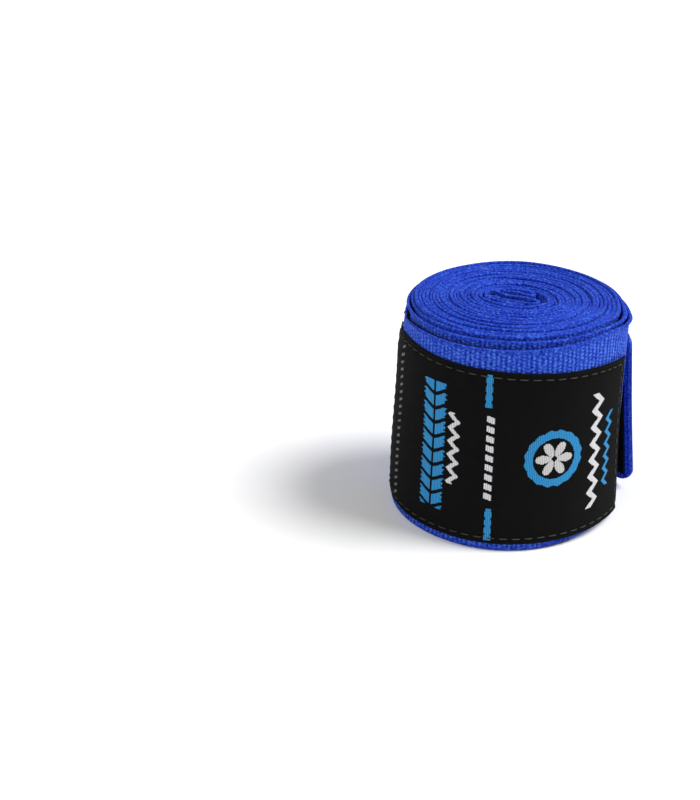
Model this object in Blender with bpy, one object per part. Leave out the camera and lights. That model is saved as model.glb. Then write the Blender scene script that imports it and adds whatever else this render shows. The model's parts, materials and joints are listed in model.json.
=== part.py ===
"""Elastic hand wrap, rolled up for storage and standing on its edge.

One long knitted band is wound into a spiral from its thumb loop outwards.
The outermost turn carries a woven label outside and hook tape inside.
Past the label, the tail of that turn is pressed onto the roll by its hook tape,
and ends in a rounded tip that stands clear of the roll so that fingers can grip it.
The tail is cut into segments joined by upright hinges, so it can be peeled off.

Units are metres, +Z is up, and the band's edges stand on the plane Z = 0.
Angles are in degrees, anticlockwise seen from above, and -90 faces the front.
"""

import math

import bmesh
import bpy
from mathutils import Matrix, Vector

# Band
BAND_WIDTH = 0.050
BAND_THICKNESS = 0.0007
TURN_GAP = 0.0002
ROLL_RADIUS = 0.0276
CORE_RADIUS = 0.0035
TURN_RISE = 0.0018
BODY_RISE = 0.0024
OVAL_RADIUS = 0.020
OVAL_ANGLE = -35.0

# Closure tail and tip
TAIL_START_ANGLE = 174.0
TAIL_ARC = 142.0
TAIL_SEGMENTS = 3
TIP_LENGTH = 0.0142
TIP_WIDTH = 0.039
TIP_THICKNESS = 0.0015
TIP_BOTTOM = 0.0022
TIP_SHOULDER = 0.004
TIP_CORNER_RADIUS = 0.0045

# Hook tape
HOOK_THICKNESS = 0.0008
HOOK_EDGE_MARGIN = 0.0003
ROOT_HOOK_ARC = 126.0
TIP_HOOK_MARGIN = 0.0028

# Woven label
LABEL_START_ANGLE = -181.0
LABEL_END_ANGLE = -24.0
LABEL_HEIGHT = 0.0425
LABEL_BOTTOM = 0.0023
LABEL_THICKNESS = 0.0004

# Sewing thread
STITCH_PITCH = 0.0030
STITCH_WIDTH = 0.00035
STITCH_HEIGHT = 0.0003
STITCH_DIP = 0.00012
LABEL_SEAM_INSET = 0.0015
LOOP_SEAM_INSET = 0.0015
TAIL_SEAM_INSET = 0.0025
TIP_SEAM_INSET = 0.0016

# Thumb loop
LOOP_TAPE_WIDTH = 0.038
LOOP_TAPE_THICKNESS = 0.0006
LOOP_ARC = 240.0
LOOP_START_ANGLE = -60.0

# Clearances
FIT_GAP = 0.00025
SEW_GAP = 0.0001
HINGE_GAP = 0.0003

STEP_ANGLE = 10.0

TURN_PITCH = BAND_THICKNESS + TURN_GAP
HOOK_ROOM = BAND_THICKNESS + HOOK_THICKNESS + 2.0 * FIT_GAP
TUCK_ANGLE = 360.0 - TAIL_ARC
OVALITY = 0.5 * TURN_GAP / TURN_PITCH
HOOK_OUTER_RADIUS = ROLL_RADIUS - BAND_THICKNESS - FIT_GAP
SEGMENT_ARC = TAIL_ARC / TAIL_SEGMENTS
TIP_FOLD = TIP_THICKNESS - BAND_THICKNESS
HINGE_GAP_ANGLE = math.degrees(HINGE_GAP / ROLL_RADIUS)


UP = Vector((0.0, 0.0, 1.0))


def polar(radius, angle):
    """Point of the plan view at a radius and an angle in degrees."""
    turn = math.radians(angle)
    return Vector((radius * math.cos(turn), radius * math.sin(turn)))


def ramp(value, low, high):
    """0 below low, 1 above high and straight between them."""
    return min(max((value - low) / (high - low), 0.0), 1.0)


def make_material(name, color, roughness, sheen=0.0):
    material = bpy.data.materials.new(name)
    material.use_nodes = True
    shader = material.node_tree.nodes["Principled BSDF"]
    shader.inputs["Base Color"].default_value = (*color, 1.0)
    shader.inputs["Roughness"].default_value = roughness
    shader.inputs["Metallic"].default_value = 0.0
    shader.inputs["Sheen Weight"].default_value = sheen
    return material


def join_rings(bm, rings, closed=False):
    """Closed skin through rows of four corners, each row given as points."""
    rows = [[bm.verts.new(corner) for corner in ring] for ring in rings]
    count = len(rows)
    for index in range(count if closed else count - 1):
        here = rows[index]
        after = rows[(index + 1) % count]
        for side in range(4):
            other = (side + 1) % 4
            bm.faces.new((here[side], after[side], after[other], here[other]))
    if not closed:
        bm.faces.new(rows[0])
        bm.faces.new(reversed(rows[-1]))


def add_strip(bm, inner, outer, closed=False):
    """Solid strip between two rows of (x, y, low z, high z) stations."""
    rings = []
    for (ax, ay, a_low, a_high), (bx, by, b_low, b_high) in zip(inner, outer):
        rings.append(((ax, ay, a_low), (bx, by, b_low), (bx, by, b_high), (ax, ay, a_high)))
    join_rings(bm, rings, closed)


def add_thread(bm, path, closed=False):
    """Sewing thread through (point, outward) stations, dipping and rising by turns."""
    rings = []
    count = len(path)
    for index, (point, outward) in enumerate(path):
        before = path[index - 1] if closed or index else path[0]
        after = path[(index + 1) % count] if closed or index + 1 < count else path[-1]
        along = (after[0] - before[0]).normalized()
        side = outward.cross(along).normalized() * (STITCH_WIDTH / 2.0)
        foot = point + outward * SEW_GAP
        top = foot + outward * (STITCH_HEIGHT if index % 2 else STITCH_DIP)
        rings.append((foot - side, foot + side, top + side, top - side))
    join_rings(bm, rings, closed)


def finish_object(name, bm, material, parent, smooth=True):
    """Object in its parent's place from a mesh drawn about the roll's axis."""
    bmesh.ops.recalc_face_normals(bm, faces=bm.faces)
    mesh = bpy.data.meshes.new(name)
    bm.to_mesh(mesh)
    bm.free()
    mesh.materials.append(material)
    if smooth:
        mesh.shade_smooth()
        mesh.set_sharp_from_angle(angle=math.radians(30.0))
    mesh.transform(Matrix.Translation(-parent["pivot"]))
    piece = bpy.data.objects.new(name, mesh)
    bpy.context.scene.collection.objects.link(piece)
    piece.parent = parent["empty"]
    return piece


def make_pivot(name, position, parent=None):
    """Empty on a hinge axis, hung from the pivot before it."""
    empty = bpy.data.objects.new(name, None)
    bpy.context.scene.collection.objects.link(empty)
    empty.location = position
    if parent is not None:
        empty.parent = parent["empty"]
        empty.location = position - parent["pivot"]
    return {"empty": empty, "pivot": position}


def stations(first, last):
    """Angles from first to last, both included, no further apart than the step."""
    count = max(1, math.ceil(abs(last - first) / STEP_ANGLE - 1e-9))
    return [first + (last - first) * index / count for index in range(count + 1)]


# The winding angle counts anticlockwise from the tail's first hinge towards the core.

def wind_radius(wind):
    """Outer face of the band at a winding angle, before the core turns oval."""
    drop = HOOK_ROOM * ramp(wind, ROOT_HOOK_ARC, TUCK_ANGLE)
    drop += TURN_PITCH * ramp(wind, 360.0 + ROOT_HOOK_ARC, 360.0 + TUCK_ANGLE)
    drop += TURN_PITCH * max(wind - 360.0 - TUCK_ANGLE, 0.0) / 360.0
    return ROLL_RADIUS - drop


def wind_rise(wind):
    """Height of the band's lower edge: inner turns stand a little proud."""
    first = TURN_RISE * ramp(wind, ROOT_HOOK_ARC, 360.0 + ROOT_HOOK_ARC)
    return first + (BODY_RISE - TURN_RISE) * ramp(wind, 360.0 + ROOT_HOOK_ARC, 720.0 + ROOT_HOOK_ARC)


def wind_length_angle():
    """Winding angle at which the band's outer face reaches the core."""
    left = ROLL_RADIUS - HOOK_ROOM - TURN_PITCH - CORE_RADIUS
    return 360.0 + TUCK_ANGLE + 360.0 * left / TURN_PITCH


def oval_factor(radius, angle):
    """Squeeze that makes the turns near the core oval."""
    share = OVALITY * max(1.0 - radius / OVAL_RADIUS, 0.0)
    return 1.0 + share * math.cos(math.radians(2.0 * (angle - OVAL_ANGLE)))


def build_rolled_band(material, parent):
    """The whole rolled strip, from the tail's hinge down to the core."""
    bm = bmesh.new()
    inner, outer = [], []
    for wind in stations(HINGE_GAP_ANGLE / 2.0, wind_length_angle()):
        angle = TAIL_START_ANGLE + wind
        radius = wind_radius(wind)
        factor = oval_factor(radius, angle)
        low = wind_rise(wind)
        high = low + BAND_WIDTH
        outer.append((*polar(radius * factor, angle), low, high))
        inner.append((*polar((radius - BAND_THICKNESS) * factor, angle), low, high))
    add_strip(bm, inner, outer)
    return finish_object("rolled_band", bm, material, parent)


def build_arc(name, material, parent, outer_radius, thickness, first, last, low, high):
    """Curved plate of one thickness on the roll's axis."""
    bm = bmesh.new()
    inner, outer = [], []
    for angle in stations(first, last):
        outer.append((*polar(outer_radius, angle), low, high))
        inner.append((*polar(outer_radius - thickness, angle), low, high))
    add_strip(bm, inner, outer)
    return finish_object(name, bm, material, parent)


def on_roll(radius, angle, height):
    """Thread station on a cylinder about the roll's axis."""
    outward = Vector((*polar(1.0, angle), 0.0))
    return outward * radius + UP * height, outward


def stitch_steps(first, last, pitch):
    """Values from first to last, two for each stitch and one more."""
    count = 2 * max(1, round(abs(last - first) / pitch))
    return [first + (last - first) * index / count for index in range(count + 1)]


def stitched_frame(radius, around, upward):
    """Thread stations along the four sides of a frame drawn on a cylinder."""
    path = [on_roll(radius, angle, upward[0]) for angle in around]
    path += [on_roll(radius, around[-1], height) for height in upward[1:-1]]
    path += [on_roll(radius, angle, upward[-1]) for angle in reversed(around)]
    path += [on_roll(radius, around[0], height) for height in reversed(upward[1:-1])]
    return path


def build_label_stitching(material, parent):
    """Running stitch inside the label's four edges."""
    bm = bmesh.new()
    radius = ROLL_RADIUS + FIT_GAP + LABEL_THICKNESS
    inset_angle = math.degrees(LABEL_SEAM_INSET / radius)
    low = LABEL_BOTTOM + LABEL_SEAM_INSET
    high = LABEL_BOTTOM + LABEL_HEIGHT - LABEL_SEAM_INSET
    first = LABEL_START_ANGLE + inset_angle
    last = LABEL_END_ANGLE - inset_angle
    around = stitch_steps(first, last, math.degrees(STITCH_PITCH / radius))
    upward = stitch_steps(low, high, STITCH_PITCH)
    add_thread(bm, stitched_frame(radius, around, upward), closed=True)
    return finish_object("label_stitching", bm, material, parent, smooth=False)


def segment_angles(index):
    """First and last angle of a tail segment, clear of its hinges."""
    first = TAIL_START_ANGLE - SEGMENT_ARC * index - HINGE_GAP_ANGLE / 2.0
    return first, first - SEGMENT_ARC + HINGE_GAP_ANGLE


def build_tail_seam(name, index, height, material, parent):
    """One of the hook tape's two seams, seen on the outside of a tail segment."""
    bm = bmesh.new()
    first, last = segment_angles(index)
    inset = math.degrees(STITCH_WIDTH / ROLL_RADIUS)
    pitch = math.degrees(STITCH_PITCH / ROLL_RADIUS)
    angles = stitch_steps(first - inset, last + inset, pitch)
    add_thread(bm, [on_roll(ROLL_RADIUS, angle, height) for angle in angles])
    return finish_object(name, bm, material, parent, smooth=False)


# The tip is drawn flat: one axis runs along it from its hinge, the other is height.

def tip_frame():
    """Foot, direction and outward normal of the tip, level with the tail's outer face."""
    angle = TAIL_START_ANGLE - TAIL_ARC
    outward = Vector((*polar(1.0, angle), 0.0))
    along = Vector((outward.y, -outward.x, 0.0))
    return outward * ROLL_RADIUS, along, outward


def tip_outline(start, margin):
    """Tip outline, inset by a margin except where it starts."""
    low = TIP_BOTTOM + margin
    high = TIP_BOTTOM + TIP_WIDTH - margin
    end = TIP_LENGTH - margin
    corner = max(TIP_CORNER_RADIUS - margin, STITCH_WIDTH)
    points = [(start, low), (start, high)]
    for center_height, first in ((high - corner, 90.0), (low + corner, 0.0)):
        for step in range(5):
            offset = polar(corner, first - 90.0 * step / 4.0)
            points.append((end - corner + offset.x, center_height + offset.y))
    return points


def add_plate(bm, points, face_depth, thickness):
    """Flat plate in the tip's frame, its outer face at a depth below the tail's outer face."""
    foot, along, outward = tip_frame()
    ring = []
    for distance, height in points:
        ring.append(bm.verts.new(foot + along * distance + UP * height - outward * face_depth))
    face = bm.faces.new(ring)
    extruded = bmesh.ops.extrude_face_region(bm, geom=[face])
    moved = [item for item in extruded["geom"] if isinstance(item, bmesh.types.BMVert)]
    bmesh.ops.translate(bm, verts=moved, vec=-outward * thickness)


def build_tip_tab(material, parent):
    """Doubled end of the band: full width at its hinge, narrowed to the rounded tip."""
    bm = bmesh.new()
    outline = tip_outline(TIP_SHOULDER, 0.0)
    start = HINGE_GAP / 2.0
    shoulder = [(start, 0.0), (start, BAND_WIDTH)]
    add_plate(bm, shoulder + outline[1:] + outline[:1], -TIP_FOLD, TIP_THICKNESS)
    return finish_object("tip_tab", bm, material, parent, smooth=False)


def build_tip_hook(material, parent):
    bm = bmesh.new()
    outline = tip_outline(HINGE_GAP / 2.0, TIP_HOOK_MARGIN)
    add_plate(bm, outline, BAND_THICKNESS + FIT_GAP, HOOK_THICKNESS)
    return finish_object("tip_hook_tape", bm, material, parent, smooth=False)


def build_tip_stitching(material, parent):
    """Seam on the tip's outer face: out along one edge, up the end and back."""
    bm = bmesh.new()
    foot, along, outward = tip_frame()
    foot = foot + outward * TIP_FOLD
    low = TIP_BOTTOM + TIP_SEAM_INSET
    high = TIP_BOTTOM + TIP_WIDTH - TIP_SEAM_INSET
    end = TIP_LENGTH - TIP_SEAM_INSET
    corner = TIP_CORNER_RADIUS / 2.0
    flat = [(distance, low) for distance in stitch_steps(TIP_SHOULDER, end - corner, STITCH_PITCH)]
    flat += [(end, height) for height in stitch_steps(low + corner, high - corner, STITCH_PITCH)]
    flat += [(distance, high) for distance in stitch_steps(end - corner, TIP_SHOULDER, STITCH_PITCH)]
    path = [(foot + along * distance + UP * height, outward) for distance, height in flat]
    add_thread(bm, path)
    return finish_object("tip_stitching", bm, material, parent, smooth=False)


def core_hollow_radius():
    """Smallest radius that the innermost turn leaves free."""
    return (CORE_RADIUS - BAND_THICKNESS) * (1.0 - OVALITY)


def build_thumb_loop(material, parent):
    """Narrow tape loop, pressed flat and curled up inside the innermost turn."""
    outer_line = core_hollow_radius() - FIT_GAP - STITCH_HEIGHT - SEW_GAP - LOOP_TAPE_THICKNESS / 2.0
    bend = (LOOP_TAPE_THICKNESS + FIT_GAP) / 2.0
    inner_line = outer_line - 2.0 * bend
    last = LOOP_START_ANGLE + LOOP_ARC
    path = [(polar(outer_line, a), polar(1.0, a)) for a in stations(LOOP_START_ANGLE, last)]
    for turn in (36.0, 72.0, 108.0, 144.0):
        center = polar(outer_line - bend, last)
        path.append((center + polar(bend, last + turn), polar(1.0, last + turn)))
    path += [(polar(inner_line, a), -polar(1.0, a)) for a in stations(last, LOOP_START_ANGLE)]
    for turn in (36.0, 72.0, 108.0, 144.0):
        center = polar(outer_line - bend, LOOP_START_ANGLE)
        facing = LOOP_START_ANGLE + 180.0 + turn
        path.append((center + polar(bend, facing), polar(1.0, facing)))
    low = BODY_RISE + (BAND_WIDTH - LOOP_TAPE_WIDTH) / 2.0
    high = low + LOOP_TAPE_WIDTH
    half = LOOP_TAPE_THICKNESS / 2.0
    inner = [(*(point - normal * half), low, high) for point, normal in path]
    outer = [(*(point + normal * half), low, high) for point, normal in path]
    bm = bmesh.new()
    add_strip(bm, inner, outer, closed=True)
    return finish_object("thumb_loop", bm, material, parent)


def build_loop_stitching(material, parent):
    """Running stitch round the part of the thumb loop that lies against the band."""
    bm = bmesh.new()
    radius = core_hollow_radius() - FIT_GAP - STITCH_HEIGHT - SEW_GAP
    first = LOOP_START_ANGLE + 2.0 * STEP_ANGLE
    last = LOOP_START_ANGLE + LOOP_ARC - 2.0 * STEP_ANGLE
    low = BODY_RISE + (BAND_WIDTH - LOOP_TAPE_WIDTH) / 2.0 + LOOP_SEAM_INSET
    high = low + LOOP_TAPE_WIDTH - 2.0 * LOOP_SEAM_INSET
    around = stitch_steps(first, last, 2.0 * STEP_ANGLE)
    upward = stitch_steps(low, high, STITCH_PITCH)
    add_thread(bm, stitched_frame(radius, around, upward), closed=True)
    return finish_object("thumb_loop_stitching", bm, material, parent, smooth=False)


def clear_scene():
    for item in list(bpy.data.objects):
        bpy.data.objects.remove(item, do_unlink=True)


def centre_on_footprint(base):
    """Put the origin under the middle of the whole object's box."""
    bpy.context.view_layer.update()
    corners = []
    for piece in bpy.context.scene.objects:
        if piece.type == "MESH":
            corners += [piece.matrix_world @ vertex.co for vertex in piece.data.vertices]
    middle_x = (min(c.x for c in corners) + max(c.x for c in corners)) / 2.0
    middle_y = (min(c.y for c in corners) + max(c.y for c in corners)) / 2.0
    base["empty"].location = (-middle_x, -middle_y, 0.0)
    bpy.context.view_layer.update()


def build_wrap():
    clear_scene()
    band_blue = make_material("band_blue", (0.010, 0.055, 0.55), 0.85, 0.4)
    hook_black = make_material("hook_black", (0.012, 0.012, 0.014), 0.7)
    label_black = make_material("label_black", (0.010, 0.010, 0.011), 0.6, 0.2)
    label_thread = make_material("label_thread", (0.10, 0.11, 0.10), 0.6)
    tail_thread = make_material("tail_thread", (0.008, 0.045, 0.45), 0.6)
    loop_tape = make_material("loop_tape", (0.010, 0.050, 0.50), 0.8)

    base = make_pivot("wrap_frame", Vector((0.0, 0.0, 0.0)))
    build_rolled_band(band_blue, base)
    hook_low = HOOK_EDGE_MARGIN
    hook_high = BAND_WIDTH - HOOK_EDGE_MARGIN
    start = TAIL_START_ANGLE + HINGE_GAP_ANGLE / 2.0
    build_arc("hook_tape_root", hook_black, base, HOOK_OUTER_RADIUS, HOOK_THICKNESS,
              start, TAIL_START_ANGLE + ROOT_HOOK_ARC, hook_low, hook_high)
    build_arc("woven_label", label_black, base, ROLL_RADIUS + FIT_GAP + LABEL_THICKNESS,
              LABEL_THICKNESS, LABEL_START_ANGLE, LABEL_END_ANGLE,
              LABEL_BOTTOM, LABEL_BOTTOM + LABEL_HEIGHT)
    build_label_stitching(label_thread, base)
    build_thumb_loop(loop_tape, base)
    build_loop_stitching(tail_thread, base)

    pivot = base
    for index in range(TAIL_SEGMENTS):
        hinge_angle = TAIL_START_ANGLE - SEGMENT_ARC * index
        position = Vector((*polar(ROLL_RADIUS, hinge_angle), 0.0))
        pivot = make_pivot(f"tail_hinge_{index + 1}", position, pivot)
        first, last = segment_angles(index)
        build_arc(f"tail_band_{index + 1}", band_blue, pivot, ROLL_RADIUS, BAND_THICKNESS,
                  first, last, 0.0, BAND_WIDTH)
        build_arc(f"tail_hook_tape_{index + 1}", hook_black, pivot, HOOK_OUTER_RADIUS,
                  HOOK_THICKNESS, first, last, hook_low, hook_high)
        for side, height in (("lower", TAIL_SEAM_INSET), ("upper", BAND_WIDTH - TAIL_SEAM_INSET)):
            build_tail_seam(f"tail_seam_{side}_{index + 1}", index, height, tail_thread, pivot)

    tip_angle = TAIL_START_ANGLE - TAIL_ARC
    pivot = make_pivot("tip_hinge", Vector((*polar(ROLL_RADIUS, tip_angle), 0.0)), pivot)
    build_tip_tab(band_blue, pivot)
    build_tip_hook(hook_black, pivot)
    build_tip_stitching(tail_thread, pivot)
    centre_on_footprint(base)


build_wrap()
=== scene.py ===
"""Looks of the rolled hand wrap: ribbed knit, woven label, hook tape and sewing thread."""

import json
import math

import bpy
import numpy as np
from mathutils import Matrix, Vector


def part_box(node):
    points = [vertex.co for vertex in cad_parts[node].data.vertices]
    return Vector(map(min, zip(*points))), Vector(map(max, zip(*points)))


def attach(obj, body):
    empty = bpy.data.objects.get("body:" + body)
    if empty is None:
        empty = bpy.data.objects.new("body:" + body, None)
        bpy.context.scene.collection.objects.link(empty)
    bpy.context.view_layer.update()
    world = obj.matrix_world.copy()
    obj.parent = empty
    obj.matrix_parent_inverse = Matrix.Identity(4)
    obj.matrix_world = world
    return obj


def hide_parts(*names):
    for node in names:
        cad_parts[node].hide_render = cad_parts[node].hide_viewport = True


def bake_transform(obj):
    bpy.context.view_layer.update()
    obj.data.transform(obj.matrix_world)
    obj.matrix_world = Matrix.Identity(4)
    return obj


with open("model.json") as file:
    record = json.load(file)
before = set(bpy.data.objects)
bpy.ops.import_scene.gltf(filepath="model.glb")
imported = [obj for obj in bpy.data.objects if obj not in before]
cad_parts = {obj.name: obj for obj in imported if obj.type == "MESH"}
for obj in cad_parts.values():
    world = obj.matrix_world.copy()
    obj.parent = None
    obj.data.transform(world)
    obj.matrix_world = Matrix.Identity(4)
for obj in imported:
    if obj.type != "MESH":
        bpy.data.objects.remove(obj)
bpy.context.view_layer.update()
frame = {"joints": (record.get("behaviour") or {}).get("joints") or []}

MM = 0.001

# Rolled band
BAND_WIDTH = 50.0 * MM
BAND_THICKNESS = 0.87 * MM
TURN_PITCH = 0.90 * MM
HOOK_ROOM = 1.55 * MM
ROOT_HOOK_ARC = 126.0
TUCK_ANGLE = 218.0
CORE_RADIUS = 6.9 * MM
TURN_RISE = 1.8 * MM
BODY_RISE = 2.4 * MM
OVAL_RADIUS = 20.0 * MM
OVAL_ANGLE = -27.0
OVALITY = 0.16
OUTER_WIND = 376.0

# Folds in the core, in millimetres across it and along it, and the arc that leads to them
FOLD_ROWS = (-4.5, -3.0, -1.5, 1.5, 3.0, 4.5)
FOLD_ENDS = (3.3, -4.8, 4.7, -4.7, 3.2)
FOLD_SWEEP = 65.0

# Directions in which the roll is out of round
LEFT_ANGLE = -185.0
FRONT_ANGLE = -105.0
RIGHT_ANGLE = -12.0
BULGE_ANGLE = -32.0
LEAN_ANGLE = -26.0

# Knit
RIB_PITCH = 1.15 * MM
BEAD_PITCH = 0.86 * MM
RIB_HEIGHT = 0.15 * MM
EDGE_ROUND = 0.24 * MM

# Tip
TIP_LENGTH = 13.8 * MM
TIP_WIDTH = 40.5 * MM
TIP_BOTTOM = 1.6 * MM
TIP_SLANT = 0.11
TIP_THICKNESS = 1.1 * MM
TIP_SHOULDER = 5.0 * MM
TIP_CORNER = 5.0 * MM
TIP_HOOK_MARGIN = 2.0 * MM
TIP_BEND = 6.0 * MM

# Hook tape
HOOK_DEPTH = 0.90 * MM
HOOK_BASE = 0.34 * MM
HOOK_HEIGHT = 0.42 * MM
HOOK_PITCH = 1.05 * MM
HOOK_STOP = 1.35 * MM
HOOK_MARGIN = 0.3 * MM
# Share of a hook's height, its radius and its sideways bend in millimetres
HOOK_PROFILE = ((0.0, 0.11, 0.0), (0.5, 0.09, 0.02), (0.85, 0.07, 0.12), (1.0, 0.04, 0.26))

# Label
LABEL_START_ANGLE = -190.0
LABEL_END_ANGLE = -24.0
LABEL_LOW = 2.0 * MM
LABEL_HIGH = 44.6 * MM
LABEL_SLOPE = 0.022 * MM
LABEL_END_SLANT = 6.0
LABEL_THICKNESS = 0.38 * MM
LABEL_SEAM_INSET = 1.5 * MM
PINKING_DEPTH = 0.9 * MM
PINKING_PITCH = 2.4 * MM
MOTIF_CELL = 0.20 * MM

# Thumb loop
LOOP_THICKNESS = 0.5 * MM
LOOP_GAP = 0.75 * MM
LOOP_REACH = 3.0 * MM
LOOP_SEAM_INSET = 1.2 * MM

# Sewing
STITCH_LENGTH = 2.0 * MM
STITCH_PITCH = 2.9 * MM
THREAD_RADIUS = 0.17 * MM
# Share of a stitch's length, its girth, and its height over the cloth in millimetres
STITCH_PROFILE = (
    (0.0, 0.35, -0.10), (0.12, 0.85, 0.05), (0.5, 1.0, 0.12), (0.88, 0.85, 0.05), (1.0, 0.35, -0.10))
TAIL_SEAM_INSET = 2.5 * MM
TIP_SEAM_INSET = 1.7 * MM

# Camera, from the roll's axis, and the share of light that the sky gives
CAMERA_OFFSET = (-0.0384, -0.3076, 0.1703)
CAMERA_DOWN = 25.2
CAMERA_LENS = 63.0
SKY_LIGHT = 0.28


def joint_point(name):
    """Where a joint's axis crosses the plane that the wrap stands on."""
    joint = next(item for item in frame["joints"] if item["name"] == name)
    return Vector(joint["pos_m"])


def circle_through(a, b, c):
    """Centre of the circle through three points of the plan."""
    rows = np.array([[b.x - a.x, b.y - a.y], [c.x - a.x, c.y - a.y]]) * 2.0
    sides = np.array([b.xy.length_squared - a.xy.length_squared, c.xy.length_squared - a.xy.length_squared])
    x, y = np.linalg.solve(rows, sides)
    return Vector((x, y, 0.0))


HINGES = [joint_point(f"tail_peel_{number}") for number in (1, 2, 3)] + [joint_point("tip_lift")]
AXIS = circle_through(*HINGES[:3])
ROLL_RADIUS = (HINGES[0] - AXIS).length
HINGE_ANGLES = [math.degrees(math.atan2(p.y - AXIS.y, p.x - AXIS.x)) for p in HINGES]
TAIL_START = HINGE_ANGLES[0]
TAIL_LENGTH = ROLL_RADIUS * math.radians(HINGE_ANGLES[0] - HINGE_ANGLES[3])
SEGMENT_LENGTH = TAIL_LENGTH / 3.0


def smooth(value, low, high):
    """0 below low, 1 above high, with a soft curve between them."""
    t = np.clip((value - low) / (high - low), 0.0, 1.0)
    return t * t * (3.0 - 2.0 * t)


def ramp(value, low, high):
    return np.clip((value - low) / (high - low), 0.0, 1.0)


def bell(value, middle, width):
    """1 at the middle, falling softly to nearly 0 at twice the width."""
    return np.exp(-(((value - middle) / width) ** 2))


def angle_from(middle, angle):
    """Signed angle from the middle, the short way round."""
    return (angle - middle + 180.0) % 360.0 - 180.0


def oval_plan(along, across):
    """Plan of points given along and across the core's flat folds."""
    turn = math.radians(OVAL_ANGLE)
    return along * math.cos(turn) - across * math.sin(turn), along * math.sin(turn) + across * math.cos(turn)


# The roll is a little out of round. One field moves every layer, so they stay nested.

def deform(points):
    """Points of the ideal roll, carried to the slack and bulges of the real one."""
    x, y, z = points[:, 0], points[:, 1], points[:, 2]
    radius = np.hypot(x, y)
    angle = np.degrees(np.arctan2(y, x))
    share = (radius / ROLL_RADIUS) ** 2
    height = z / BAND_WIDTH
    turn = np.radians(angle)
    push = 0.14 * np.sin(2.0 * turn + 0.9) + 0.08 * np.sin(3.0 * turn + 2.0 * height)
    push += 0.04 * np.sin(7.0 * turn + 3.0 * height + 1.0)
    left = angle_from(LEFT_ANGLE, angle)
    push += bell(left, 0.0, 50.0) * (0.35 - 1.35 * smooth(z, 5.0 * MM, 42.0 * MM))
    shoulder = 1.3 * smooth(z, 48.5 * MM, 51.8 * MM) - 1.2 * smooth(z, 38.0 * MM, 49.0 * MM)
    push += bell(left, 0.0, 36.0) * shoulder
    push += 0.8 * bell(angle, FRONT_ANGLE, 45.0) * (1.0 - smooth(z, 0.0, 30.0 * MM))
    push += 0.6 * bell(angle, RIGHT_ANGLE, 22.0) * (1.0 - smooth(z, 2.0 * MM, 26.0 * MM))
    bulge = bell(angle, BULGE_ANGLE, 17.0) * smooth(z, 30.0 * MM, 50.0 * MM)
    push += 0.45 * bulge * smooth(radius, 0.80 * ROLL_RADIUS, 0.98 * ROLL_RADIUS)
    lean = bell(angle, LEAN_ANGLE, 13.0) * smooth(z, 48.8 * MM, 52.2 * MM)
    push += 1.35 * lean * smooth(radius, 0.74 * ROLL_RADIUS, 0.94 * ROLL_RADIUS)
    radius = radius + share * push * MM
    return np.stack([AXIS.x + radius * np.cos(turn), AXIS.y + radius * np.sin(turn), z], axis=1)


def slant_tip(points):
    """Shear the tip so that its lower corner reaches further than its upper one."""
    turn = math.radians(HINGE_ANGLES[3])
    along = (points[:, 0] * math.sin(turn) - points[:, 1] * math.cos(turn))
    middle = TIP_BOTTOM + TIP_WIDTH / 2.0
    shift = TIP_SLANT * (middle - points[:, 2]) * smooth(along, 0.0, 8.0 * MM)
    moved = points.copy()
    moved[:, 0] += shift * math.sin(turn)
    moved[:, 1] -= shift * math.cos(turn)
    return moved


def wind_radius(wind):
    """Radius of the band's outer face at a winding angle counted from the first hinge inwards."""
    drop = HOOK_ROOM * ramp(wind, ROOT_HOOK_ARC, TUCK_ANGLE)
    drop = drop + TURN_PITCH * ramp(wind, 360.0 + ROOT_HOOK_ARC, 360.0 + TUCK_ANGLE)
    turns = np.maximum(wind - 360.0 - TUCK_ANGLE, 0.0) / 360.0
    slack = 0.055 * np.sin(2.0 * math.pi * turns / 2.6) + 0.03 * np.sin(2.0 * math.pi * turns / 1.7)
    return ROLL_RADIUS - drop - TURN_PITCH * (turns + slack)


def wind_rise(wind):
    """How far the band's lower edge stands above the outermost turn's."""
    first = TURN_RISE * ramp(wind, ROOT_HOOK_ARC, 360.0 + ROOT_HOOK_ARC)
    body = (BODY_RISE - TURN_RISE) * ramp(wind, 360.0 + ROOT_HOOK_ARC, 720.0 + ROOT_HOOK_ARC)
    turns = wind / 360.0
    turn = np.radians(wind)
    uneven = 0.20 * np.sin(2.39 * turns + 1.0) + 0.15 * np.sin(5.1 * turns) + 0.10 * np.sin(17.0 * turns)
    uneven = uneven + 0.08 * np.sin(3.0 * turn + 2.1 * turns) + 0.05 * np.sin(5.0 * turn + 1.3 * turns)
    lift = 1.3 * bell(angle_from(-40.0, wind + TAIL_START), 0.0, 36.0)
    lift = lift * ramp(wind, 20.0, 60.0) * (1.0 - ramp(wind, 200.0, 300.0))
    return first + body + (uneven * ramp(wind, 400.0, 700.0) + lift) * MM


def wind_shape(wind):
    """Radius with the pointed oval that the turns near the core share."""
    radius = wind_radius(wind)
    off = angle_from(OVAL_ANGLE, TAIL_START + wind)
    share = OVALITY * np.maximum(1.0 - radius / OVAL_RADIUS, 0.0)
    point = np.exp(-np.abs(off) / 20.0) * (1.0 - smooth(radius, 8.5 * MM, 17.0 * MM))
    return radius * (1.0 + share * np.cos(np.radians(2.0 * off))) + 1.1 * MM * point


def rim_dip(length):
    """How far the outermost turn's upper edge sags beside the tail's first hinge."""
    angle = TAIL_START + np.degrees(length / ROLL_RADIUS)
    return 2.0 * MM * bell(angle, 181.0, 17.0)


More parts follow.
